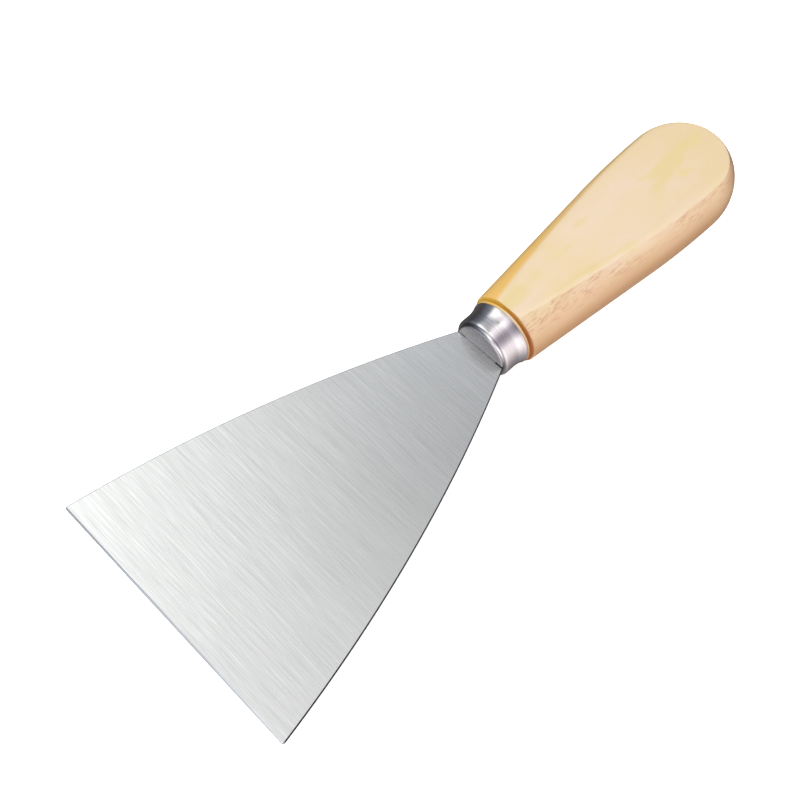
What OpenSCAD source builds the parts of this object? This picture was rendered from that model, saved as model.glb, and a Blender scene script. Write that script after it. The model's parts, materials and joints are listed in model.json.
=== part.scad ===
// Putty knife with a fan-shaped steel blade, a drawn steel ferrule and a turned
// wooden handle that has a flat planed on each side.
// The tool is drawn along X with its axis on X, the blade in the XY plane, and
// the ferrule's front face at X = 0. It is then laid on a bench as it rests by
// itself: on the edge of the tip and on the front of the handle's lower flat.

/* [Blade] */
// Width across the tip
tip_w = 76; // [70:1:84]
// Length from the ferrule's front face to the tip
blade_len = 100; // [92:1:108]
// Width where the blade meets the ferrule
neck_w = 15.4; // [14.6:0.2:16.2]
// Radius of the long curve along each side
side_r = 400; // [300:10:600]
// Thickness of the steel
blade_th = 1.0; // [0.8:0.1:1.2]
// Width of the small ground chamfer on both faces at the tip
tip_chamfer_w = 0.4; // [0.2:0.1:0.8]
// Thickness left at the very tip
tip_th = 0.5; // [0.3:0.1:0.6]

/* [Tang] */
// Width of the tang
tang_w = 11; // [9:0.5:11.5]
// Length of the tang behind the ferrule's front face
tang_len = 44; // [35:1:55]
// Width of the tang's squared-off end
tang_end_w = 6; // [4:0.5:8]

/* [Ferrule] */
// Length along the tool
ferrule_len = 7.5; // [7.2:0.1:8.4]
// Radius of the straight part behind the nose
ferrule_r = 8.55; // [8.4:0.05:8.8]
// Radius of the rounded edge around the front face
nose_round = 1.6; // [1.0:0.1:2.0]
// Radius of the flared rear rim
rim_r = 9.35; // [9.2:0.05:9.5]
// Where the flare starts, behind the front face
flare_start = 4; // [3:0.5:5]
// Wall of the drawn sheet
ferrule_wall = 0.6; // [0.5:0.1:0.8]

/* [Handle] */
// Total length behind the ferrule's front face
handle_end = 93.4; // [91:0.2:97]
// Radius of the wood just behind the groove
front_r = 10.1; // [10:0.05:10.6]
// Largest radius, at the bulb
bulb_r = 15.6; // [15:0.2:16.4]
// Distance of the bulb behind the ferrule's front face
bulb_at = 76.5; // [72:0.5:78]
// Rise of the taper between the groove and the bulb, per millimetre
taper_rise = 0.1; // [0.095:0.005:0.11]
// Radius of the barely rounded side along the taper
taper_r = 2000; // [1000:500:4000]
// Radius of the rounded end of the butt
butt_r = 12; // [10:0.5:13]
// Thickness across the two flats
flats_th = 19.6; // [18.4:0.2:20]
// Width of the bead between the ferrule and the groove
bead_w = 0.8; // [0.6:0.1:1.2]
// Width of the turned groove
groove_w = 0.8; // [0.6:0.1:1.2]
// Depth of the groove below the bead
groove_d = 0.5; // [0.3:0.1:0.6]

/* [Tang slot] */
// Resin around the tang, on each side
resin_gap = 0.3; // [0.2:0.05:0.5]
// Running room of the tang in the ferrule's own slot
slot_room = 0.1; // [0.05:0.05:0.2]

/* [Hidden] */

$fn = 96;
big_fn = 720;
tip_half = tip_w / 2;
neck_half = neck_w / 2;

// The side curve runs from the neck corner to the tip corner. Its centre lies
// beyond the other side of the blade, so that both sides bulge outwards.
chord_dy = tip_half - neck_half;
chord_len = sqrt(blade_len * blade_len + chord_dy * chord_dy);
chord_drop = sqrt(side_r * side_r - chord_len * chord_len / 4);
side_cx = blade_len / 2 + chord_drop * chord_dy / chord_len;
side_cy = (neck_half + tip_half) / 2 - chord_drop * blade_len / chord_len;

// Ferrule: straight behind the nose, then one hollow arc that flares to the rim
nose_flat_r = ferrule_r - nose_round;
flare_len = ferrule_len - flare_start;
flare_rise = rim_r - ferrule_r;
flare_arc_r = (flare_len * flare_len + flare_rise * flare_rise) / (2 * flare_rise);

// Clearance between the ferrule and the tenon that it covers
seat_room = 0.05;
tenon_inset = ferrule_wall + seat_room;

// Handle stations, as distances behind the ferrule's front face
groove_at = ferrule_len + bead_w;
body_at = groove_at + groove_w;
bead_r = rim_r;
flat_z = flats_th / 2;

// The taper turns into one arc that is level at the bulb
taper_angle = atan(taper_rise);
swell_slack = bulb_at - body_at - (bulb_r - front_r) / taper_rise;
swell_r = swell_slack * (1 + cos(taper_angle)) / sin(taper_angle);
taper_end = bulb_at - swell_r * sin(taper_angle);
taper_end_r = bulb_r - swell_r * (1 - cos(taper_angle));

// Centre of the taper's own arc, as [radius, distance behind the front face]
taper_run = taper_end - body_at;
taper_gain = taper_end_r - front_r;
taper_chord = sqrt(taper_run * taper_run + taper_gain * taper_gain);
taper_drop = sqrt(taper_r * taper_r - taper_chord * taper_chord / 4);
taper_centre = [
    (front_r + taper_end_r) / 2 - taper_drop * taper_run / taper_chord,
    (body_at + taper_end) / 2 + taper_drop * taper_gain / taper_chord
];

// Behind the bulb one arc closes in, and the butt's own arc ends it
butt_at = handle_end - butt_r;
cap_dx = butt_at - bulb_at;
cap_arc_r = (cap_dx * cap_dx + bulb_r * bulb_r - butt_r * butt_r) / (2 * (bulb_r - butt_r));
cap_end = bulb_at + cap_arc_r * cap_dx / (cap_arc_r - butt_r);

// Pose on the bench: the tip's lower edge and the front end of the handle's
// lower flat both touch it
tip_contact_x = blade_len - tip_chamfer_w;
rest_pitch = atan((flat_z - blade_th / 2) / (tip_contact_x + body_at));
rest_lift = tip_contact_x * sin(rest_pitch) + blade_th / 2 * cos(rest_pitch);
rest_shift = (handle_end - blade_len) / 2 * cos(rest_pitch);

// Turns a profile of [radius, distance behind the front face] round the X axis
module turned() {
    rotate([0, -90, 0])
        rotate_extrude()
            children();
}

// Everything is drawn on the tool's own axis and laid on the bench by this
module laid_on_bench() {
    translate([rest_shift, 0, rest_lift])
        rotate([0, rest_pitch, 0])
            children();
}

// Part of a circle that lies between two distances, on one side of the axis
module arc_slice(centre, r, from, to) {
    intersection() {
        translate(centre)
            circle(r = r, $fn = big_fn);
        translate([0, from])
            square([bulb_r + 1, to - from]);
    }
}

// Outline of the fan in front of the ferrule
module fan_outline() {
    intersection() {
        translate([side_cx, side_cy])
            circle(r = side_r, $fn = big_fn);
        translate([side_cx, -side_cy])
            circle(r = side_r, $fn = big_fn);
        translate([0, -tip_w])
            square([blade_len, 2 * tip_w]);
    }
}

// Outline of the tang behind the shoulders, with its tapered end
module tang_outline() {
    taper = (tang_w - tang_end_w) / 2;
    polygon([
        [1, tang_w / 2],
        [-tang_len + 2 * taper, tang_w / 2],
        [-tang_len, tang_end_w / 2],
        [-tang_len, -tang_end_w / 2],
        [-tang_len + 2 * taper, -tang_w / 2],
        [1, -tang_w / 2]
    ]);
}

// Side view of the steel outside the chamfered tip, on the upper face
module chamfer_side_view() {
    polygon([
        [blade_len - tip_chamfer_w, blade_th / 2],
        [blade_len, tip_th / 2],
        [blade_len + 1, tip_th / 2],
        [blade_len + 1, blade_th],
        [blade_len - tip_chamfer_w, blade_th]
    ]);
}

// The blade and its tang, one piece of flat steel
module blade_solid() {
    difference() {
        translate([0, 0, -blade_th / 2])
            linear_extrude(blade_th) {
                fan_outline();
                tang_outline();
            }
        for (face = [0, 1])
            mirror([0, 0, face])
                rotate([90, 0, 0])
                    translate([0, 0, -tip_w])
                        linear_extrude(2 * tip_w)
                            chamfer_side_view();
    }
}

// Profile of the ferrule's outside, or of an inner skin set in from it
module cup_profile(inset, mouth) {
    difference() {
        polygon([
            [0, inset],
            [nose_flat_r, inset],
            [nose_flat_r, nose_round],
            [ferrule_r - inset, nose_round],
            [ferrule_r - inset, flare_start],
            [rim_r, flare_start],
            [rim_r, mouth],
            [0, mouth]
        ]);
        translate([ferrule_r + flare_arc_r, flare_start])
            circle(r = flare_arc_r + inset, $fn = big_fn);
    }
    translate([nose_flat_r, nose_round])
        circle(r = nose_round - inset);
}

// Profile of the wood: tenon, bead, groove, taper, swell and butt
module handle_profile() {
    cup_profile(tenon_inset, ferrule_len);
    polygon([
        [0, ferrule_len],
        [bead_r, ferrule_len],
        [bead_r, groove_at],
        [bead_r - groove_d, groove_at],
        [bead_r - groove_d, body_at],
        [0, body_at]
    ]);
    arc_slice(taper_centre, taper_r, body_at, taper_end);
    arc_slice([bulb_r - swell_r, bulb_at], swell_r, taper_end - 5, bulb_at);
    arc_slice([bulb_r - cap_arc_r, bulb_at], cap_arc_r, bulb_at - 5, cap_end);
    arc_slice([0, butt_at], butt_r, butt_at, handle_end);
}

// Room cut in the wood for the tang and its resin
module tang_room() {
    translate([-tang_len - resin_gap, -tang_w / 2 - resin_gap, -blade_th / 2 - resin_gap])
        cube([
            tang_len + resin_gap - tenon_inset,
            tang_w + 2 * resin_gap,
            blade_th + 2 * resin_gap
        ]);
}

module blade() {
    color([0.80, 0.81, 0.81])
        laid_on_bench()
            blade_solid();
}

module ferrule() {
    color([0.62, 0.61, 0.65])
        laid_on_bench()
            difference() {
                turned()
                    cup_profile(0, ferrule_len);
                turned()
                    cup_profile(ferrule_wall, ferrule_len + 1);
                translate([-2, -tang_w / 2 - slot_room, -blade_th / 2 - slot_room])
                    cube([3, tang_w + 2 * slot_room, blade_th + 2 * slot_room]);
            }
}

module handle() {
    color([0.93, 0.84, 0.68])
        laid_on_bench()
            difference() {
                intersection() {
                    turned()
                        handle_profile();
                    translate([-handle_end - 1, -tip_w, -flat_z])
                        cube([handle_end + 1, 2 * tip_w, flats_th]);
                }
                tang_room();
            }
}

module tang_adhesive() {
    color([0.55, 0.42, 0.24])
        laid_on_bench()
            difference() {
                tang_room();
                blade_solid();
            }
}

blade();
ferrule();
handle();
tang_adhesive();
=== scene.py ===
"""Looks of the putty knife: a brushed blade, a polished ferrule and a lacquered wooden handle.

Every piece is drawn on the tool's own axes, in metres: the origin is the centre of the
ferrule's front face, +X points to the tip, +Z is the blade's upper side, and +Y is the
side that the camera sees on the right. The matrix `on_bench` lays it in the frame, as the
CAD part lies.
"""

import json
import math

import bmesh
import bpy
from mathutils import Matrix, Vector


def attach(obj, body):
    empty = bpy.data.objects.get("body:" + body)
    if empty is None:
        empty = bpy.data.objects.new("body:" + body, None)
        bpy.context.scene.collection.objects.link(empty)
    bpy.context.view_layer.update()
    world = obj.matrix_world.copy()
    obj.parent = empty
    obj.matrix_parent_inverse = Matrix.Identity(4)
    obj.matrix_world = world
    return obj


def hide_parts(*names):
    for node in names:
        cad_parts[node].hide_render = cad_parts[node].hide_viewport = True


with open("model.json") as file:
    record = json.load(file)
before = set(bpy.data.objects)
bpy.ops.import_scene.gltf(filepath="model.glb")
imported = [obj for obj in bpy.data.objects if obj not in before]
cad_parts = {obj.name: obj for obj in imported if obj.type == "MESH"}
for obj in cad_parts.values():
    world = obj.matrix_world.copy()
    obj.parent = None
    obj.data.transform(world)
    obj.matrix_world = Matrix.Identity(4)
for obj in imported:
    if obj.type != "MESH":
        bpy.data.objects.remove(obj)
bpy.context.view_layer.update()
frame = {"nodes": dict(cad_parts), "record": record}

MM = 0.001
ALMOST_ZERO = 1e-5


# ---------------------------------------------------------------- the frame

def tool_matrix():
    """Where the tool's own axes lie in the frame, from the handle's two flats and the ferrule."""
    mounts = {m["name"]: m for m in frame["record"]["mounts"]}
    upper = mounts["handle_upper_flat"]
    lower = mounts["handle_lower_flat"]
    up = Vector(upper["axis"]).normalized()
    across = Vector((0, 1, 0))
    forward = across.cross(up).normalized()
    on_axis = (Vector(upper["pos_m"]) + Vector(lower["pos_m"])) / 2
    ferrule_front = max((v.co - on_axis).dot(forward) for v in frame["nodes"]["ferrule"].data.vertices)
    turn = Matrix((forward, across, up)).transposed().to_4x4()
    return Matrix.Translation(on_axis + forward * ferrule_front) @ turn


def box_on_tool(node):
    """Lowest and highest corner of a CAD node, along the tool's own axes."""
    points = [to_tool @ v.co for v in frame["nodes"][node].data.vertices]
    low = Vector([min(p[axis] for p in points) for axis in range(3)])
    high = Vector([max(p[axis] for p in points) for axis in range(3)])
    return low, high


on_bench = tool_matrix()
to_tool = on_bench.inverted()
blade_low, blade_high = box_on_tool("blade")
ferrule_low, ferrule_high = box_on_tool("ferrule")
handle_low, handle_high = box_on_tool("handle")

# Sizes that the CAD boxes give
blade_len = blade_high.x
tip_half = blade_high.y
blade_half_th = blade_high.z
tang_len = -blade_low.x
ferrule_len = -ferrule_low.x
rim_r = ferrule_high.y
handle_end = -handle_low.x
bulb_r = handle_high.y
flat_z = handle_high.z

# Sizes that the boxes don't give, as the CAD part has them (it bows the taper very slightly)
neck_half = 7.7 * MM
side_r = 400 * MM
tip_chamfer = 0.4 * MM
tip_half_th = 0.25 * MM
tang_half = 5.5 * MM
tang_end_half = 3.0 * MM
ferrule_r = 8.55 * MM
nose_round = 1.6 * MM
flare_start = 4.0 * MM
ferrule_wall = 0.6 * MM
slot_room = 0.1 * MM
resin_gap = 0.3 * MM
tenon_inset = 0.65 * MM
bead_w = 0.8 * MM
groove_w = 0.8 * MM
groove_d = 0.5 * MM
front_r = 10.1 * MM
bulb_at = 76.5 * MM
taper_rise = 0.1
butt_r = 12 * MM

# Places along the handle, behind the ferrule's front face
groove_at = ferrule_len + bead_w
groove_mid = groove_at + groove_w / 2
body_at = groove_at + groove_w
butt_at = handle_end - butt_r

# One arc swells from the taper to the bulb, and another closes in from the bulb to the butt
taper_angle = math.atan(taper_rise)
swell_slack = bulb_at - body_at - (bulb_r - front_r) / taper_rise
swell_r = swell_slack * (1 + math.cos(taper_angle)) / math.sin(taper_angle)
taper_end = bulb_at - swell_r * math.sin(taper_angle)
cap_run = butt_at - bulb_at
cap_r = (cap_run ** 2 + bulb_r ** 2 - butt_r ** 2) / (2 * (bulb_r - butt_r))
cap_end = bulb_at + cap_r * cap_run / (cap_r - butt_r)


# ---------------------------------------------------------------- mesh helpers

def add_mesh(name, verts, faces, material):
    """A piece from lists of points and faces, drawn on the tool's own axes."""
    mesh = bpy.data.meshes.new(name)
    mesh.from_pydata(verts, [], faces)
    shell = bmesh.new()
    shell.from_mesh(mesh)
    bmesh.ops.recalc_face_normals(shell, faces=shell.faces)
    shell.to_mesh(mesh)
    shell.free()
    return add_piece(name, mesh, material)


def add_piece(name, mesh, material):
    """A smooth-shaded piece from a mesh, still drawn on the tool's own axes."""
    mesh.materials.append(material)
    piece = bpy.data.objects.new(name, mesh)
    bpy.context.scene.collection.objects.link(piece)
    for face in mesh.polygons:
        face.use_smooth = True
    return piece


def lay_on_bench(piece, crease_degrees):
    """Moves the finished mesh into the frame, and keeps edges sharper than the crease crisp."""
    piece.data.transform(on_bench)
    piece.data.set_sharp_from_angle(angle=math.radians(crease_degrees))
    return piece


def lathe(rings):
    """Quads between closed rings of equal length, with a single point at either end."""
    verts = [rings[0][0]]
    loops = [[0]]
    for ring in rings[1:-1]:
        loops.append(list(range(len(verts), len(verts) + len(ring))))
        verts.extend(ring)
    loops.append([len(verts)])
    verts.append(rings[-1][0])
    faces = []
    for near, far in zip(loops, loops[1:]):
        count = max(len(near), len(far))
        for i in range(count):
            j = (i + 1) % count
            corners = [near[i % len(near)], near[j % len(near)], far[j % len(far)], far[i % len(far)]]
            faces.append(list(dict.fromkeys(corners)))
    return verts, faces


def apply_modifiers(piece):
    """Bakes the modifiers into the piece's own mesh."""
    view = bpy.context.evaluated_depsgraph_get()
    mesh = bpy.data.meshes.new_from_object(piece.evaluated_get(view))
    piece.modifiers.clear()
    piece.data = mesh


def cut_slot(piece, x_from, x_to, half_w, half_th):
    """Cuts a flat slot round the tang, open towards +X."""
    cutter_mesh = bpy.data.meshes.new("cutter")
    box = bmesh.new()
    bmesh.ops.create_cube(box, size=1)
    bmesh.ops.scale(box, vec=(x_to - x_from, 2 * half_w, 2 * half_th), verts=box.verts)
    bmesh.ops.translate(box, vec=((x_from + x_to) / 2, 0, 0), verts=box.verts)
    box.to_mesh(cutter_mesh)
    box.free()
    cutter = bpy.data.objects.new("cutter", cutter_mesh)
    bpy.context.scene.collection.objects.link(cutter)
    cut = piece.modifiers.new("slot", "BOOLEAN")
    cut.operation = "DIFFERENCE"
    cut.solver = "EXACT"
    cut.object = cutter
    bpy.context.view_layer.update()
    apply_modifiers(piece)
    bpy.data.objects.remove(cutter)


# ---------------------------------------------------------------- blade

def side_arc(steps):
    """Points along the blade's right side, from the neck to the tip."""
    chord = Vector((blade_len, tip_half - neck_half))
    middle = Vector((blade_len / 2, (tip_half + neck_half) / 2))
    inward = Vector((chord.y, -chord.x)).normalized()
    centre = middle + inward * math.sqrt(side_r ** 2 - (chord.length / 2) ** 2)
    start = Vector((0, neck_half)) - centre
    end = Vector((blade_len, tip_half)) - centre
    a = math.atan2(start.y, start.x)
    b = math.atan2(end.y, end.x)
    angles = [a + (b - a) * i / steps for i in range(steps + 1)]
    return [centre + side_r * Vector((math.cos(t), math.sin(t))) for t in angles]


def rounded_corner(before, corner, after, radius, steps):
    """Replaces a corner of an outline by a round of this radius."""
    back = (before - corner).normalized()
    on = (after - corner).normalized()
    half = back.angle(on) / 2
    reach = radius / math.tan(half)
    centre = corner + (back + on).normalized() * radius / math.sin(half)
    start = corner + back * reach - centre
    turn = start.angle_signed(corner + on * reach - centre)
    points = []
    for i in range(steps + 1):
        spoke = start.copy()
        spoke.rotate(Matrix.Rotation(-turn * i / steps, 2))
        points.append(centre + spoke)
    return points


def blade_outline():
    """Half of the outline from the tang's end to the middle of the tip, on the right side."""
    end_taper = 2 * (tang_half - tang_end_half)
    tang = [
        Vector((-tang_len, tang_end_half)),
        Vector((-tang_len + end_taper, tang_half)),
        Vector((0, tang_half)),
    ]
    side = side_arc(60)
    corner_round = 0.6 * MM
    tip_steps = 24
    tip_middle = Vector((blade_len, 0))
    corner = rounded_corner(side[-2], side[-1], tip_middle, corner_round, 6)
    tip = [Vector((blade_len, corner[-1].y * (1 - i / tip_steps))) for i in range(1, tip_steps)]
    return tang + side[:-1] + corner + tip


def make_blade(material):
    """The fan and its tang: one plate with a softened rim and a ground chamfer at the tip."""
    right = blade_outline()
    left = [Vector((p.x, -p.y)) for p in reversed(right)]
    outline = right + [Vector((blade_len, 0))] + left
    plate = bmesh.new()
    top = [plate.verts.new((p.x, p.y, blade_half_th)) for p in outline]
    face = plate.faces.new(top)
    grown = bmesh.ops.extrude_face_region(plate, geom=[face])
    moved = [g for g in grown["geom"] if isinstance(g, bmesh.types.BMVert)]
    bmesh.ops.translate(plate, vec=(0, 0, -2 * blade_half_th), verts=moved)
    bmesh.ops.recalc_face_normals(plate, faces=plate.faces)
    rim = [e for e in plate.edges if abs(e.verts[0].co.z - e.verts[1].co.z) < ALMOST_ZERO]
    soft = 0.25 * MM
    bmesh.ops.bevel(plate, geom=rim, offset=soft, segments=2, profile=0.5, affect="EDGES")
    everything = plate.verts[:] + plate.edges[:] + plate.faces[:]
    chamfer_start = (blade_len - tip_chamfer, 0, 0)
    bmesh.ops.bisect_plane(plate, geom=everything, plane_co=chamfer_start, plane_no=(1, 0, 0))
    for v in plate.verts:
        depth = blade_len - v.co.x
        if depth < tip_chamfer:
            limit = tip_half_th + (blade_half_th - tip_half_th) * depth / tip_chamfer
            v.co.z = max(-limit, min(limit, v.co.z))
    mesh = bpy.data.meshes.new("blade_steel_plate")
    plate.to_mesh(mesh)
    plate.free()
    return lay_on_bench(add_piece("blade_steel_plate", mesh, material), 20)


# ---------------------------------------------------------------- ferrule

def flare_radius(s, inset=0.0):
    """Radius of the ferrule's hollow flare at distance s behind the front face."""
    run = ferrule_len - flare_start
    rise = rim_r - ferrule_r
    arc = (run ** 2 + rise ** 2) / (2 * rise)
    return ferrule_r + arc - math.sqrt((arc + inset) ** 2 - (s - flare_start) ** 2)


def cup_points(inset, steps=10):
    """Profile (distance behind the front face, radius) of a skin set in from the outside."""
    nose_flat = ferrule_r - nose_round
    points = [(inset, 0.0), (inset, nose_flat * 0.5)]
    for i in range(steps + 1):
        a = math.pi / 2 * i / steps
        small = nose_round - inset
        points.append((nose_round - small * math.cos(a), nose_flat + small * math.sin(a)))
    points.append((flare_start * 0.7, ferrule_r - inset))
    for i in range(1, 2 * steps + 1):
        s = flare_start + (ferrule_len - flare_start) * i / (2 * steps)
        points.append((s, flare_radius(s, inset)))
    return points


def make_ferrule(material):
    """A drawn cup with a rounded nose, a flared rim and a slot for the tang."""
    lip = 0.12 * MM
    around = 160
    outside = cup_points(0.0)
    inside = cup_points(ferrule_wall)
    s_rim, r_rim = outside[-1]
    rounded = [
        (s_rim - lip, flare_radius(s_rim - lip)),
        (s_rim - lip * 0.3, r_rim - lip * 0.35),
        (s_rim, r_rim - lip),
    ]
    profile = outside[:-1] + rounded + list(reversed(inside))
    rings = []
    for s, r in profile:
        ring = []
        for i in range(around):
            a = 2 * math.pi * i / around
            ring.append((-s, r * math.cos(a), r * math.sin(a)))
        rings.append(ring)
    verts, faces = lathe(rings)
    piece = add_mesh("ferrule_cup", verts, faces, material)
    slot_back = -2 * MM
    slot_front = 1 * MM
    cut_slot(piece, slot_back, slot_front, tang_half + slot_room, blade_half_th + slot_room)
    return lay_on_bench(piece, 35)


# ---------------------------------------------------------------- handle

def body_radius(s):
    """Radius of the turned wood behind the groove: taper, swell, cap and butt."""
    if s <= taper_end:
        return front_r + taper_rise * (s - body_at)
    if s <= bulb_at:
        return bulb_r - swell_r + math.sqrt(swell_r ** 2 - (bulb_at - s) ** 2)
    if s <= cap_end:
        return bulb_r - cap_r + math.sqrt(cap_r ** 2 - (s - bulb_at) ** 2)
    return math.sqrt(max(0.0, butt_r ** 2 - (s - butt_at) ** 2))


def bead_points():
    """Profile of the bead behind the ferrule, with both of its edges rounded."""
    front = ferrule_len + 0.12 * MM
    inner_r = rim_r - 0.75 * MM
    edge_round = 0.28 * MM
    steps = 5
    quarter = [math.pi / 2 * i / steps for i in range(steps + 1)]
    points = [(front, inner_r)]
    for a in quarter:
        points.append((front + edge_round * (1 - math.cos(a)), rim_r - edge_round * (1 - math.sin(a))))
    for a in quarter:
        points.append((groove_at - edge_round * (1 - math.sin(a)), rim_r - edge_round * (1 - math.cos(a))))
    return points


def groove_points():
    """Profile of the rounded groove behind the bead, up to the sanded front of the body."""
    return [
        (groove_mid - 0.1 * MM, rim_r - groove_d * 0.92),
        (groove_mid, rim_r - groove_d),
        (groove_mid + 0.08 * MM, rim_r - groove_d * 0.9),
        (body_at - 0.14 * MM, front_r - 0.30 * MM),
        (body_at, front_r - 0.12 * MM),
    ]


def body_points():
    """Profile of the body from its front to the end of the butt."""
    front = body_at + 0.25 * MM
    body_steps = 150
    butt_steps = 28
    stations = [front + (butt_at - front) * i / body_steps for i in range(body_steps + 1)]
    for i in range(1, butt_steps + 1):
        stations.append(butt_at + butt_r * math.sin(math.pi / 2 * i / butt_steps))
    return [(s, body_radius(s)) for s in stations]


def handle_stations():
    """Profile of the handle from the tenon's front to the butt, as (distance, radius)."""
    tenon = [p for p in cup_points(tenon_inset, 4) if p[0] < ferrule_len]
    return tenon + bead_points() + groove_points() + body_points()


def soft_flat(r, angle, edge):
    """Radius where a circle of radius r meets the planed flat, its edge sanded soft."""
    sanding = 0.055
    planed = flat_z / max(abs(math.sin(angle)), ALMOST_ZERO)
    blend = flat_z * sanding * math.cos(edge) / math.sin(edge) ** 2
    near = max(blend - abs(r - planed), 0.0) / blend
    return min(r, planed) - near ** 2 * blend / 4


def ring_angles(edge):
    """Angles round one ring, closer together where the flat's edge runs."""
    side_steps = 26
    flat_steps = 22
    crowding = 1.6
    quarter = []
    for i in range(side_steps):
        quarter.append(edge * (1 - (1 - i / side_steps) ** crowding))
    for i in range(flat_steps):
        quarter.append(edge + (math.pi / 2 - edge) * (i / flat_steps) ** crowding)
    half = quarter + [math.pi - a for a in [math.pi / 2] + quarter[:0:-1]]
    return half + [a + math.pi for a in half]


def make_handle(material):
    """The turned wood with its two planed flats, and the room for the tang."""
    steepest = 0.965
    rings = []
    for s, r in handle_stations():
        edge = math.asin(min(steepest, flat_z / max(r, ALMOST_ZERO)))
        ring = []
        for a in ring_angles(edge):
            reach = soft_flat(r, a, edge)
            ring.append((-s, reach * math.cos(a), reach * math.sin(a)))
        rings.append(ring)
    verts, faces = lathe(rings)
    piece = add_mesh("handle_turned_wood", verts, faces, material)
    cut_slot(piece, -tang_len - resin_gap, 0, tang_half + resin_gap, blade_half_th + resin_gap)
    return lay_on_bench(piece, 40)


# ---------------------------------------------------------------- node helpers

class NodeTree:
    """Short names for building one node tree.

    A value is a number, a colour or the output of another node.
    """

    def __init__(self, tree):
        self.tree = tree

    def feed(self, socket, value):
        """Gives a socket its number, its colour or its link."""
        if isinstance(value, (int, float)):
            socket.default_value = value
        elif isinstance(value, tuple):
            socket.default_value = (*value, 1)
        else:
            self.tree.links.new(value, socket)

    def math(self, operation, first, second=0.0):
        """The result of one operation on two numbers."""
        node = self.tree.nodes.new("ShaderNodeMath")
        node.operation = operation
        self.feed(node.inputs[0], first)
        self.feed(node.inputs[1], second)
        return node.outputs["Value"]

    def times(self, first, *others):
        """The product of all the values."""
        product = first
        for value in others:
            product = self.math("MULTIPLY", product, value)
        return product

    def dot(self, vector, direction):
        """How far a vector reaches along a fixed direction."""
        node = self.tree.nodes.new("ShaderNodeVectorMath")
        node.operation = "DOT_PRODUCT"
        node.inputs[1].default_value = direction
        self.feed(node.inputs[0], vector)
        return node.outputs["Value"]

    def spread(self, value, low, high, to_low=0.0, to_high=1.0, kind="LINEAR"):
        """Maps low..high to to_low..to_high, clamped."""
        node = self.tree.nodes.new("ShaderNodeMapRange")
        node.interpolation_type = kind
        node.inputs["From Min"].default_value = low
        node.inputs["From Max"].default_value = high
        node.inputs["To Min"].default_value = to_low
        node.inputs["To Max"].default_value = to_high
        self.feed(node.inputs["Value"], value)
        return node.outputs["Result"]

    def mix(self, share, first, second, blend="MIX"):
        """The first colour turning into the second one."""
        node = self.tree.nodes.new("ShaderNodeMix")
        node.data_type = "RGBA"
        node.blend_type = blend
        self.feed(node.inputs[0], share)
        self.feed(node.inputs[6], first)
        self.feed(node.inputs[7], second)
        return node.outputs[2]

    def ramp(self, value, stops):
        """A colour ramp with (position, colour) stops."""
        node = self.tree.nodes.new("ShaderNodeValToRGB")
        elements = node.color_ramp.elements
        elements[0].position = stops[0][0]
        elements[1].position = stops[-1][0]
        for position, _ in stops[1:-1]:
            elements.new(position)
        for element, (_, colour) in zip(elements, stops):
            element.color = (*colour, 1)
        self.feed(node.inputs["Fac"], value)
        return node.outputs["Color"]


class Material(NodeTree):
    """One material whose patterns lie along the tool's own axes."""

    def __init__(self, name):
        self.material = bpy.data.materials.new(name)
        self.material.use_nodes = True
        super().__init__(self.material.node_tree)
        self.shader = self.tree.nodes["Principled BSDF"]
        self.place = self.tool_axes()

    def tool_axes(self):
        """The place of a point along the tool's own axes, in metres."""
        node = self.tree.nodes.new("ShaderNodeMapping")
        node.vector_type = "TEXTURE"
        node.inputs["Location"].default_value = on_bench.to_translation()
        node.inputs["Rotation"].default_value = on_bench.to_euler()
        self.feed(node.inputs["Vector"], self.tree.nodes.new("ShaderNodeTexCoord").outputs["Object"])
        return node.outputs["Vector"]

    def axis(self, name):
        """One coordinate along the tool's own axes, in metres."""
        node = self.tree.nodes.new("ShaderNodeSeparateXYZ")
        self.feed(node.inputs["Vector"], self.place)
        return node.outputs[name]

    def height(self):
        """Distance above or below the blade's middle plane, in metres."""
        return self.math("ABSOLUTE", self.axis("Z"))

    def noise(self, scale, detail=2.0, roughness=0.5, distortion=0.0):
        """Noise with this many cells per metre, one number or one for each axis."""
        vector = self.place
        if isinstance(scale, tuple):
            stretch = self.tree.nodes.new("ShaderNodeMapping")
            stretch.inputs["Scale"].default_value = scale
            self.feed(stretch.inputs["Vector"], vector)
            vector = stretch.outputs["Vector"]
            scale = 1.0
        node = self.tree.nodes.new("ShaderNodeTexNoise")
        node.inputs["Scale"].default_value = scale
        node.inputs["Detail"].default_value = detail
        node.inputs["Roughness"].default_value = roughness
        node.inputs["Distortion"].default_value = distortion
        self.feed(node.inputs["Vector"], vector)
        return node.outputs["Fac"]

    def bump(self, height, distance, strength):
        """Raises the surface by the height, up to the distance."""
        node = self.tree.nodes.new("ShaderNodeBump")
        node.inputs["Distance"].default_value = distance
        node.inputs["Strength"].default_value = strength
        self.feed(node.inputs["Height"], height)
        self.feed(self.shader.inputs["Normal"], node.outputs["Normal"])

    def set(self, **values):
        """Sets the shader's inputs by their names, with _ for a space."""
        for name, value in values.items():
            self.feed(self.shader.inputs[name.replace("_", " ")], value)


# ---------------------------------------------------------------- materials

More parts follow.
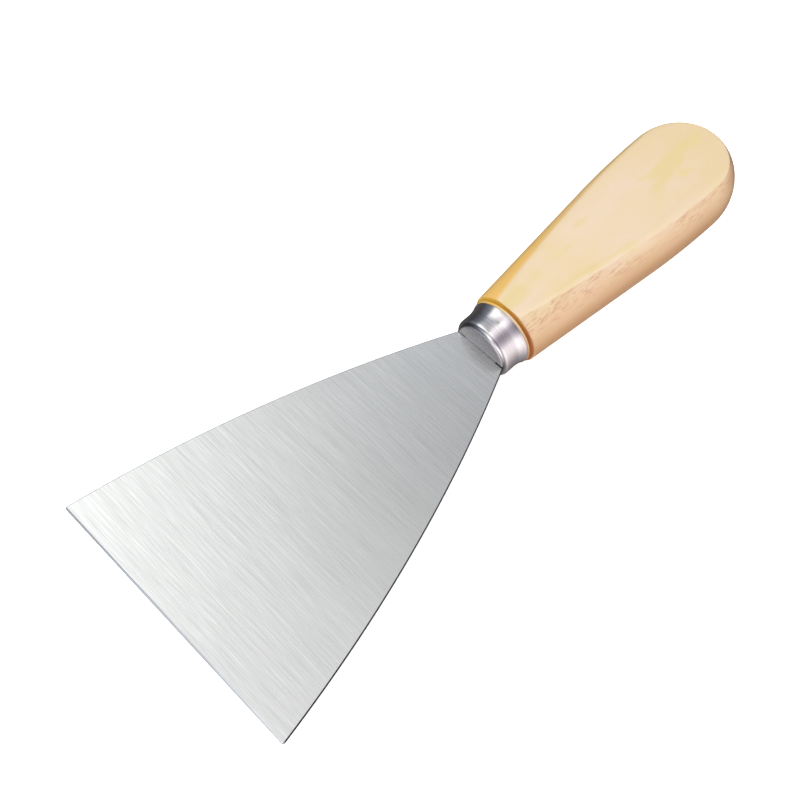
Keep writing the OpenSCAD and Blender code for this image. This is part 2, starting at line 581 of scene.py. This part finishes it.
def brushed_steel():
    """Satin steel brushed across the blade, with fine streaks along Y, painted shade towards the neck and
    the right side, and a sheared edge painted near black on the right side as painted shade.
    """
    dark_streak = (0.61, 0.622, 0.618)
    pale_streak = (0.79, 0.80, 0.795)
    # Painted shade towards the neck and the right side, and how much of it there is
    shade = (0.05, 0.05, 0.05)
    painted_shade_share = 0.24
    # Painted shade on the right rim: a near-black colour here and a dark specular tint below.
    sheared_edge_and_painted_shade_colour = (0.012, 0.012, 0.014)
    white = (1.0, 1.0, 1.0)
    sheared_edge_and_painted_shade_tint = (0.02, 0.02, 0.02)
    steel = Material("blade_brushed_steel")

    fine = steel.noise((4200, 90, 90), roughness=0.6)
    medium = steel.noise((1900, 45, 45), roughness=0.6)
    broad = steel.noise((160, 14, 14), detail=1.0)
    streaks = steel.math("ADD", steel.times(fine, 0.6), steel.times(medium, 0.4))
    tone = steel.math("ADD", steel.times(streaks, 0.9), steel.times(broad, 0.1))
    brushed = steel.mix(steel.spread(tone, 0.36, 0.64), dark_streak, pale_streak)

    # Painted shade: the colour darkens towards the neck and towards the right side.
    toward_neck = steel.spread(steel.axis("X"), 70 * MM, 15 * MM)
    toward_right = steel.spread(steel.axis("Y"), -12 * MM, 16 * MM)
    with_painted_shade = steel.mix(steel.times(toward_neck, toward_right, painted_shade_share), brushed, shade)

    # The sheared rim below the upper face, on the right side only and away from the tip: partly the rim's
    # own darker steel, mostly painted shade, with a near-black colour and a dark specular tint.
    below_face = steel.spread(steel.height(), blade_half_th - 0.01 * MM, blade_half_th - 0.05 * MM)
    painted_shade_on_right = steel.spread(steel.axis("Y"), -1 * MM, 1 * MM)
    off_tip = steel.spread(steel.axis("X"), blade_len - 2 * tip_chamfer, blade_len - tip_chamfer, 1.0, 0.0)
    edge = steel.times(below_face, painted_shade_on_right, off_tip)
    steel.set(Base_Color=steel.mix(edge, with_painted_shade, sheared_edge_and_painted_shade_colour), Metallic=1.0)
    steel.set(Specular_Tint=steel.mix(edge, white, sheared_edge_and_painted_shade_tint))
    steel.set(Roughness=steel.spread(streaks, 0.35, 0.65, 0.29, 0.23))
    steel.bump(streaks, 0.003 * MM, 0.5)
    return steel.material


def polished_nickel():
    """Bright plate with faint drawing lines round the cup."""
    dark_line = (0.62, 0.59, 0.60)
    pale_line = (0.71, 0.68, 0.695)
    nickel = Material("ferrule_polished_nickel")
    lines = nickel.noise((2600, 45, 45))
    cloud = nickel.noise(420)
    nickel.set(Base_Color=nickel.mix(nickel.spread(lines, 0.3, 0.7), dark_line, pale_line), Metallic=1.0)
    nickel.set(Roughness=nickel.spread(cloud, 0.3, 0.7, 0.16, 0.24))
    nickel.bump(lines, 0.002 * MM, 0.4)
    return nickel.material


class Wood(Material):
    """The handle's material, with soft masks for the parts of its surface."""

    def __init__(self, name):
        super().__init__(name)
        self.behind = self.times(self.axis("X"), -1.0)
        self.right = self.axis("Y")
        self.to_right = self.spread(self.right, 0.0, 4 * MM)
        self.off_flat = self.below_flat(0.25 * MM, 0.6 * MM)
        self.planed_edge = self.below_flat(0.08 * MM, 0.7 * MM)
        sanded_side = self.spread(self.right, 2 * MM, 6 * MM)
        sanded_height = self.spread(self.height(), 2 * MM, 6 * MM)
        self.sanded = self.times(sanded_side, sanded_height)

    def below_flat(self, start, end):
        """0 at the first depth below the planed flat, 1 at the second."""
        return self.spread(self.height(), flat_z - start, flat_z - end)


def wood_ground(wood):
    """Pale wood with pink blotches and yellow patches, creamier towards the butt."""
    sandy = (0.65, 0.515, 0.31)
    pink = (0.67, 0.54, 0.41)
    cream = (0.62, 0.475, 0.245)
    yellow = (0.62, 0.50, 0.22)
    blotches = wood.noise((38, 75, 75), distortion=0.4)
    patches = wood.noise((75, 150, 150), detail=1.0, distortion=0.3)
    blotched = wood.mix(wood.spread(blotches, 0.36, 0.64), sandy, pink)
    creamy = wood.mix(wood.spread(wood.behind, 40 * MM, 88 * MM, 0.0, 0.6), blotched, cream)
    return wood.mix(wood.spread(patches, 0.50, 0.64, 0.0, 0.75), creamy, yellow)


def wood_sides_painted_shade(wood, ground):
    """Painted shade on the round flanks: tan and browner down the right one and at the butt, golden on the
    left one.
    """
    # Colours of the painted shade; tan is the painted shade just below the right flat.
    tan = (0.60, 0.41, 0.22)
    lower_painted_shade_brown = (0.45, 0.235, 0.085)
    butt_painted_shade_brown = (0.43, 0.23, 0.075)
    left_painted_shade_gold = (0.70, 0.43, 0.11)
    # Painted shade: tan below the right flat, browner low on the right and round the butt, golden on the
    # left, fading towards the butt.
    upper_right_painted_shade = wood.times(wood.below_flat(0.3 * MM, 3 * MM), wood.to_right)
    lower_right_painted_shade = wood.times(wood.spread(wood.height(), 7 * MM, 1 * MM), wood.to_right)
    at_butt = wood.spread(wood.behind, handle_end - 18 * MM, handle_end - 7 * MM)
    butt_painted_shade = wood.times(wood.off_flat, at_butt, wood.to_right)
    left_painted_shade = wood.times(wood.planed_edge, wood.spread(wood.right, -1 * MM, -4 * MM))
    left_painted_shade_share = wood.times(left_painted_shade, wood.spread(wood.behind, 24 * MM, 70 * MM, 1.0, 0.5))

    colour = wood.mix(upper_right_painted_shade, ground, tan)
    colour = wood.mix(lower_right_painted_shade, colour, lower_painted_shade_brown)
    colour = wood.mix(butt_painted_shade, colour, butt_painted_shade_brown)
    return wood.mix(left_painted_shade_share, colour, left_painted_shade_gold)


def wood_grain_and_painted_highlight(wood, painted_shade_sides, grain, pores):
    """Long grain and pore dashes on the sanded side, and a painted highlight along the edge of the right
    flat.
    """
    grain_brown = (0.60, 0.38, 0.22)
    painted_highlight_pale = (0.80, 0.68, 0.52)
    pore_brown = (0.48, 0.25, 0.14)
    faint_everywhere = 0.10
    grainy = wood.math("ADD", wood.times(wood.sanded, wood.off_flat), faint_everywhere)
    lines = wood.times(wood.spread(grain, 0.46, 0.64, 0.0, 0.55), grainy)
    # Painted highlight: a pale line just below the edge of the right flat, on the right side.
    flat_edge_painted_highlight = wood.times(wood.below_flat(0.45 * MM, 0.2 * MM), wood.planed_edge, wood.to_right)

    colour = wood.mix(lines, painted_shade_sides, grain_brown)
    colour = wood.mix(flat_edge_painted_highlight, colour, painted_highlight_pale)
    return wood.mix(pores, colour, pore_brown)


def pore_dashes(wood):
    """Short dashes in loose groups, where the side was sanded across its pores."""
    dashes = wood.noise((330, 2100, 2100))
    groups = wood.noise((110, 300, 300), detail=1.0)
    side_band = wood.times(wood.off_flat, wood.spread(wood.height(), 3 * MM, 7 * MM))
    where = wood.times(wood.times(wood.sanded, side_band), wood.spread(groups, 0.38, 0.50))
    return wood.times(wood.spread(dashes, 0.50, 0.60, 0.0, 0.65), where)


def groove_stain_and_painted_shade(wood, body):
    """The groove behind the bead, stained dark, with painted shade making it browner on the right."""
    amber = (0.60, 0.36, 0.03)
    right_painted_shade_brown = (0.36, 0.12, 0.02)
    off_middle = wood.math("ABSOLUTE", wood.math("SUBTRACT", wood.behind, groove_mid))
    in_groove = wood.spread(off_middle, groove_w * 0.3, groove_w * 0.62, 1.0, 0.0)
    # Painted shade: the groove's colour goes from amber on the left to dark brown on the right.
    stain_and_painted_shade = wood.mix(wood.spread(wood.right, -6 * MM, 7 * MM), amber, right_painted_shade_brown)
    return wood.mix(in_groove, body, stain_and_painted_shade)


def lacquered_wood():
    """Pale beech under clear lacquer: blotches, long grain, short pore dashes and a dark groove, with
    painted shade on the round flanks and the groove's right, and a painted highlight along the right
    flat's edge.
    """
    wood = Wood("handle_lacquered_wood")
    grain = wood.noise((36, 520, 520), detail=4.0, roughness=0.6, distortion=0.3)
    pores = pore_dashes(wood)
    # The body colour carries the painted shade on the round flanks and the painted highlight along the
    # right flat's edge.
    body = wood_grain_and_painted_highlight(wood, wood_sides_painted_shade(wood, wood_ground(wood)), grain, pores)
    wood.set(Base_Color=groove_stain_and_painted_shade(wood, body), Roughness=0.42, IOR=1.45)
    wood.set(Coat_Weight=0.8, Coat_Roughness=0.12)
    wood.bump(wood.math("SUBTRACT", wood.times(grain, 0.3), wood.times(pores, 0.5)), 0.04 * MM, 0.5)
    return wood.material


def cured_resin():
    """Amber resin round the tang, with fine bubbles."""
    dark_amber = (0.30, 0.19, 0.08)
    pale_amber = (0.46, 0.32, 0.15)
    resin = Material("tang_cured_resin")
    cloud = resin.noise(900, detail=3.0, roughness=0.6)
    bubbles = resin.noise(5200, detail=1.0)
    resin.set(Base_Color=resin.mix(resin.spread(cloud, 0.35, 0.65), dark_amber, pale_amber))
    resin.set(Roughness=resin.spread(bubbles, 0.3, 0.7, 0.35, 0.6))
    resin.bump(bubbles, 0.02 * MM, 0.5)
    return resin.material


def pale_floor():
    """Nearly white, a little bright by itself, with no gloss."""
    floor = Material("floor_pale")
    tint = floor.noise(3.0)
    floor.set(Base_Color=floor.mix(tint, (0.93, 0.93, 0.93), (0.95, 0.95, 0.95)), Roughness=0.9)
    floor.set(Emission_Color=(1.0, 1.0, 1.0), Emission_Strength=0.55, Specular_IOR_Level=0.0)
    return floor.material


# ---------------------------------------------------------------- studio

# Panels seen round the tool's own axis, by their angle from its right side, in degrees
PANELS = [
    (-180, (0.08, 0.08, 0.08)),
    (-90, (0.20, 0.19, 0.20)),
    (-50, (0.52, 0.49, 0.50)),
    (-30, (0.98, 0.90, 0.89)),
    (-4, (1.70, 1.62, 1.60)),
    (18, (1.80, 1.68, 1.74)),
    (34, (0.86, 0.84, 0.88)),
    (50, (0.50, 0.46, 0.54)),
    (64, (0.60, 0.56, 0.66)),
    (79, (1.70, 1.62, 1.68)),
    (93, (2.00, 1.98, 2.00)),
    (105, (1.05, 1.07, 1.13)),
    (118, (0.64, 0.67, 0.74)),
    (132, (0.60, 0.66, 0.76)),
    (148, (0.26, 0.30, 0.36)),
    (180, (0.09, 0.09, 0.10)),
]

# How bright the panels are along the tool, from the butt's end (-1) to the tip's (1)
FADES = [
    (-1.0, 0.45),
    (-0.45, 0.72),
    (-0.25, 0.9),
    (-0.05, 1.0),
    (0.15, 0.9),
    (0.42, 0.40),
    (0.6, 0.4),
    (0.8, 1.2),
    (1.0, 1.2),
]


def make_floor():
    """Plain pale floor under the tool."""
    just_below = -0.02 * MM
    bpy.ops.mesh.primitive_plane_add(size=6, location=(0, 0, just_below))
    floor = bpy.context.object
    floor.name = "floor"
    floor.data.materials.append(pale_floor())
    floor.visible_glossy = False


def add_softbox(name, side, watts):
    """A square soft light above the tool, on its right (side 1) or its left (side -1)."""
    lamp = bpy.data.lights.new(name, "AREA")
    lamp.size = 900 * MM
    lamp.energy = watts
    light = bpy.data.objects.new(name, lamp)
    bpy.context.scene.collection.objects.link(light)
    spot = on_bench @ (Vector((-60 * side, 420 * side, 620)) * MM)
    aim = on_bench.to_translation() - spot
    light.matrix_world = Matrix.Translation(spot) @ aim.to_track_quat("-Z", "Y").to_matrix().to_4x4()
    light.visible_glossy = False


def side_panels(sky, along, across, above):
    """The soft panels round the tool."""
    turn = sky.spread(sky.math("ARCTAN2", above, across), -math.pi, math.pi)
    bands = sky.ramp(turn, [((angle + 180) / 360, colour) for angle, colour in PANELS])
    lengthwise = sky.spread(along, -1.0, 1.0)
    fade = sky.ramp(lengthwise, [((place + 1) / 2, (level, level, level)) for place, level in FADES])
    return sky.mix(1.0, bands, fade, "MULTIPLY")


def blade_panel(sky, along, across):
    """The large panel over the blade, brighter towards the tip and towards the left."""
    steepness = 2.35
    dark_end = -0.68
    bright_end = 1.9
    tint = (0.92, 0.92, 0.91)
    rise = sky.times(sky.math("SUBTRACT", along, across), steepness)
    level = sky.spread(rise, dark_end, bright_end, 0.0, bright_end - dark_end)
    return sky.mix(1.0, level, tint, "MULTIPLY")


def blade_panel_share(sky, along, across, above):
    """Where the large panel shows, with a soft edge on each side."""
    return sky.times(
        sky.spread(along, -0.43, -0.27, 0.0, 1.0, "SMOOTHSTEP"),
        sky.spread(along, 0.15, 0.38, 1.0, 0.0, "SMOOTHSTEP"),
        sky.spread(across, -0.14, -0.02, 1.0, 0.0, "SMOOTHSTEP"),
        sky.spread(across, -0.85, -0.65, 0.0, 1.0, "SMOOTHSTEP"),
        sky.spread(above, 0.1, 0.4, 0.0, 1.0, "SMOOTHSTEP"),
    )


def make_world():
    """The studio round the tool: soft panels beside it and one large panel over the blade."""
    world = bpy.data.worlds.new("studio")
    bpy.context.scene.world = world
    world.use_nodes = True
    sky = NodeTree(world.node_tree)
    direction = sky.tree.nodes.new("ShaderNodeTexCoord").outputs["Generated"]
    along, across, above = [sky.dot(direction, on_bench.col[axis].to_3d()) for axis in range(3)]
    panels = side_panels(sky, along, across, above)
    over_blade = blade_panel(sky, along, across)
    share = blade_panel_share(sky, along, across, above)
    sky.feed(sky.tree.nodes["Background"].inputs["Color"], sky.mix(share, panels, over_blade))


def make_lights():
    """The studio's panels, and two softboxes that light what isn't polished."""
    make_world()
    add_softbox("key_softbox", -1, 3.8)
    add_softbox("fill_softbox", 1, 1.85)


def make_camera():
    """Looks down on the tool from in front and from its right, turned so it lies diagonally."""
    distance = 300 * MM
    target = Vector((24.15, -3.95, 0)) * MM
    tilt_side = math.radians(20.23)
    tilt_front = math.radians(24.22)
    roll = math.radians(49.27)
    overhead = Vector((0, math.sin(tilt_side), math.cos(tilt_side)))
    spot = distance * (math.sin(tilt_front) * Vector((1, 0, 0)) + math.cos(tilt_front) * overhead)
    look = (target - spot).normalized()
    to_butt = Vector((-1, 0, 0))
    up = (to_butt - look * to_butt.dot(look)).normalized()
    right = look.cross(up)
    rolled_right = math.cos(roll) * right + math.sin(roll) * up
    rolled_up = math.cos(roll) * up - math.sin(roll) * right
    turn = Matrix((rolled_right, rolled_up, -look)).transposed().to_4x4()
    lens = bpy.data.cameras.new("camera")
    lens.sensor_width = 36
    lens.lens = 53.8
    lens.clip_start = 0.01
    camera = bpy.data.objects.new("camera", lens)
    bpy.context.scene.collection.objects.link(camera)
    camera.matrix_world = on_bench @ Matrix.Translation(spot) @ turn
    bpy.context.scene.camera = camera


# ---------------------------------------------------------------- build

blade = make_blade(brushed_steel())
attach(blade, "root")
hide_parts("blade")

ferrule = make_ferrule(polished_nickel())
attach(ferrule, "root")
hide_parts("ferrule")

handle = make_handle(lacquered_wood())
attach(handle, "root")
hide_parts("handle")

adhesive = frame["nodes"]["tang_adhesive"]
adhesive.data.materials.clear()
adhesive.data.materials.append(cured_resin())

make_floor()
make_lights()
make_camera()
bpy.context.scene.view_settings.view_transform = "Standard"
